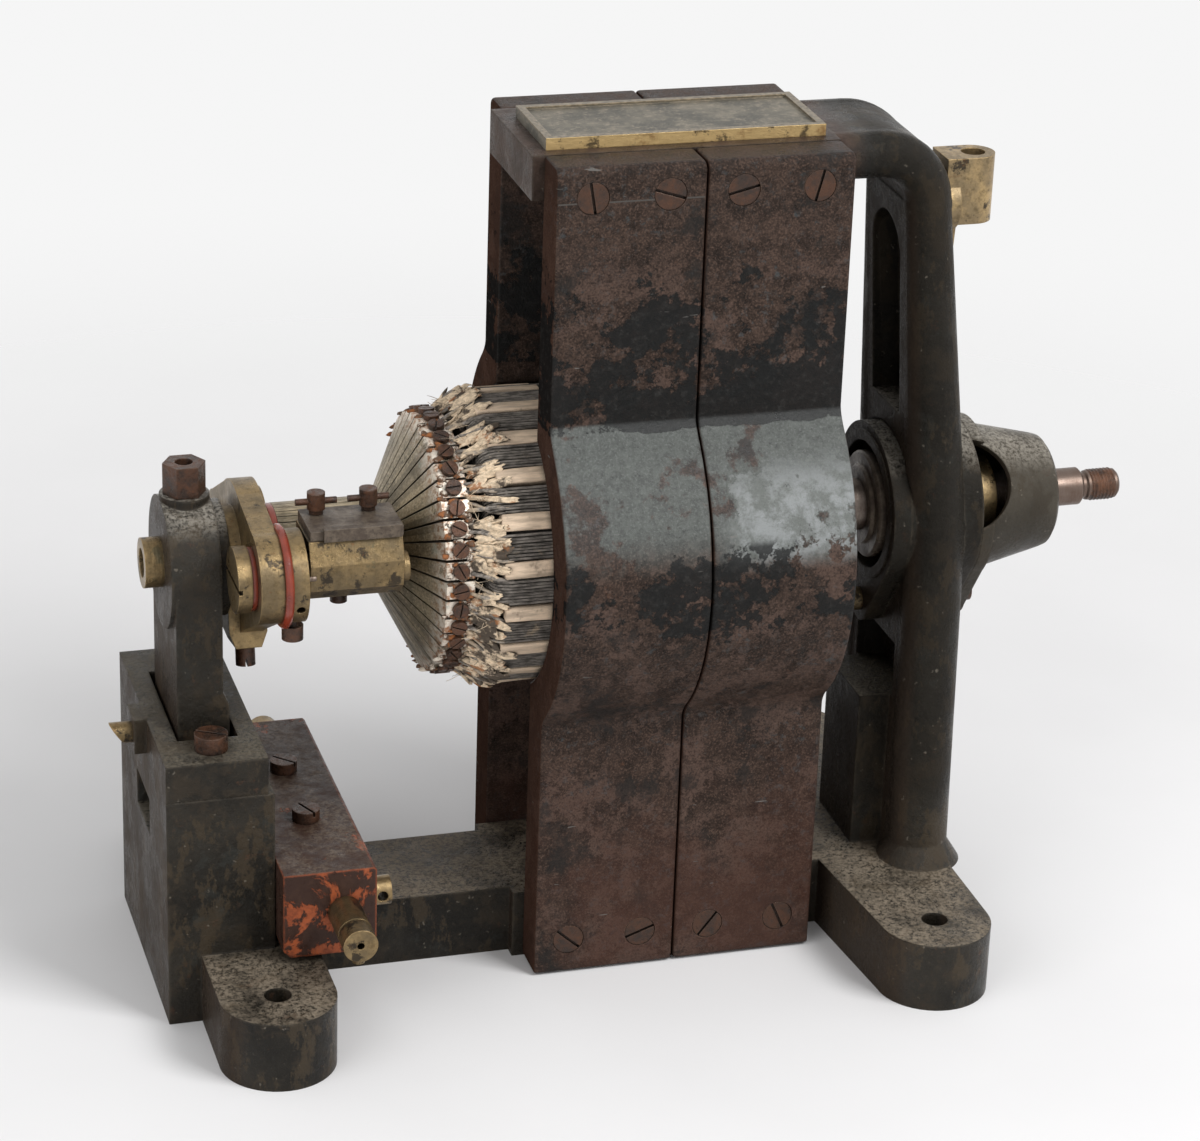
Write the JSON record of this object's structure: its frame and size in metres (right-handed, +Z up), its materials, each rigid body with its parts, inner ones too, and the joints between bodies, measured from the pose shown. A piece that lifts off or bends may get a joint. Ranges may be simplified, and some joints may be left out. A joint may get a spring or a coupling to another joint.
{
  "type": "antique dynamo",
  "caption": "Open bipolar dynamo: cast end frame, bent iron pole bars, drum armature with cone-riser commutator and a swinging brush rocker.",
  "frame": {"origin": "centre of the foot bolt rectangle, on the floor", "axes": "+X along the shaft to the drive end, -Y to the front, +Z up"},
  "size_m": [0.4343, 0.231, 0.3548],
  "materials": {
    "casting": "worn dark paint",
    "bar_iron": "rusted with paint remains",
    "rusty_iron": "rusted",
    "steel": "dull turned",
    "brass": "aged",
    "commutator": "grey tarnish",
    "red_fibre": "worn gloss",
    "wood": "dry",
    "cotton": "cotton covered wire",
    "tape": "frayed"
  },
  "bodies": {
    "frame": {"main_frame": "casting", "pole_bar_front_left": "bar_iron", "pole_bar_front_right": "bar_iron", "pole_bar_back_left": "bar_iron", "pole_bar_back_right": "bar_iron", "front_bar_screws": "rusty_iron", "back_bar_screws": "rusty_iron", "nameplate": "brass", "pedestal_cap": "casting", "cap_screws": "rusty_iron", "oil_spout": "brass", "bearing_standard": "casting", "commutator_end_bush": "brass", "oil_plug": "rusty_iron", "terminal_block": "red_fibre", "terminal_block_screws": "rusty_iron", "front_terminal": "brass", "back_terminal": "brass", "side_terminal": "brass", "binding_screws": "rusty_iron", "drive_end_bush": "brass", "inner_oil_flange": "casting", "inner_flange_screw": "brass", "oil_bell": "casting", "bell_screw": "rusty_iron", "top_bracket": "brass"},
    "armature": {"shaft": "steel", "drum_core": "casting", "drum_pegs_left": "wood", "drum_pegs_right": "wood", "armature_winding": "cotton", "lead_ends": "tape", "commutator_bars": "commutator", "commutator_risers": "commutator", "riser_screws": "rusty_iron", "commutator_hub": "wood", "commutator_end_ring": "red_fibre", "oil_thrower": "steel"},
    "rocker": {"brush_rocker": "brass", "rocker_set_screw": "rusty_iron", "spindle_front": "brass", "spindle_back": "brass", "insulators_front": "red_fibre", "insulators_back": "red_fibre", "collar_front": "brass", "collar_back": "brass", "collar_screw_front": "rusty_iron", "collar_screw_back": "rusty_iron"},
    "holder_front_body": {"holder_front": "brass"},
    "clamp_front_body": {"clamp_plate_front": "rusty_iron"},
    "tee_front_a_body": {"tee_screw_front_a": "rusty_iron"},
    "tee_front_b_body": {"tee_screw_front_b": "rusty_iron"},
    "holder_back_body": {"holder_back": "brass"},
    "clamp_back_body": {"clamp_plate_back": "rusty_iron"},
    "tee_back_a_body": {"tee_screw_back_a": "rusty_iron"},
    "tee_back_b_body": {"tee_screw_back_b": "rusty_iron"}
  },
  "joints": [
    {"name": "armature_spin", "type": "hinge", "parent": "frame", "child": "armature", "pos_m": [0, 0, 0.18], "axis": [1, 0, 0], "continuous": true},
    {"name": "rocker_swing", "type": "hinge", "parent": "frame", "child": "rocker", "pos_m": [0, 0, 0.18], "axis": [1, 0, 0], "range_deg": [-20, 20]},
    {"name": "holder_front_swing", "type": "hinge", "parent": "rocker", "child": "holder_front_body", "pos_m": [-0.1, -0.03939, 0.18695], "axis": [1, 0, 0], "range_deg": [-15, 35]},
    {"name": "clamp_front_lift", "type": "slide", "parent": "holder_front_body", "child": "clamp_front_body", "axis": [0, 0, 1], "range_m": [0, 0.003]},
    {"name": "tee_front_a_turn", "type": "hinge", "parent": "clamp_front_body", "child": "tee_front_a_body", "pos_m": [-0.1095, -0.02639, 0.18695], "axis": [0, 0, 1], "range_deg": [0, 1080]},
    {"name": "tee_front_b_turn", "type": "hinge", "parent": "clamp_front_body", "child": "tee_front_b_body", "pos_m": [-0.0885, -0.02639, 0.18695], "axis": [0, 0, 1], "range_deg": [0, 1080]},
    {"name": "holder_back_swing", "type": "hinge", "parent": "rocker", "child": "holder_back_body", "pos_m": [-0.1, 0.03939, 0.17305], "axis": [1, 0, 0], "range_deg": [-15, 35]},
    {"name": "clamp_back_lift", "type": "slide", "parent": "holder_back_body", "child": "clamp_back_body", "axis": [0, 0, -1], "range_m": [0, 0.003]},
    {"name": "tee_back_a_turn", "type": "hinge", "parent": "clamp_back_body", "child": "tee_back_a_body", "pos_m": [-0.1095, 0.02639, 0.17305], "axis": [0, 0, -1], "range_deg": [0, 1080]},
    {"name": "tee_back_b_turn", "type": "hinge", "parent": "clamp_back_body", "child": "tee_back_b_body", "pos_m": [-0.0885, 0.02639, 0.17305], "axis": [0, 0, -1], "range_deg": [0, 1080]}
  ],
  "couplings": [
    {"joint": "tee_front_a_turn", "follows": "clamp_front_lift", "rad_per_m": 6283.2},
    {"joint": "tee_front_b_turn", "follows": "clamp_front_lift", "rad_per_m": 6283.2},
    {"joint": "tee_back_a_turn", "follows": "clamp_back_lift", "rad_per_m": 6283.2},
    {"joint": "tee_back_b_turn", "follows": "clamp_back_lift", "rad_per_m": 6283.2}
  ]
}
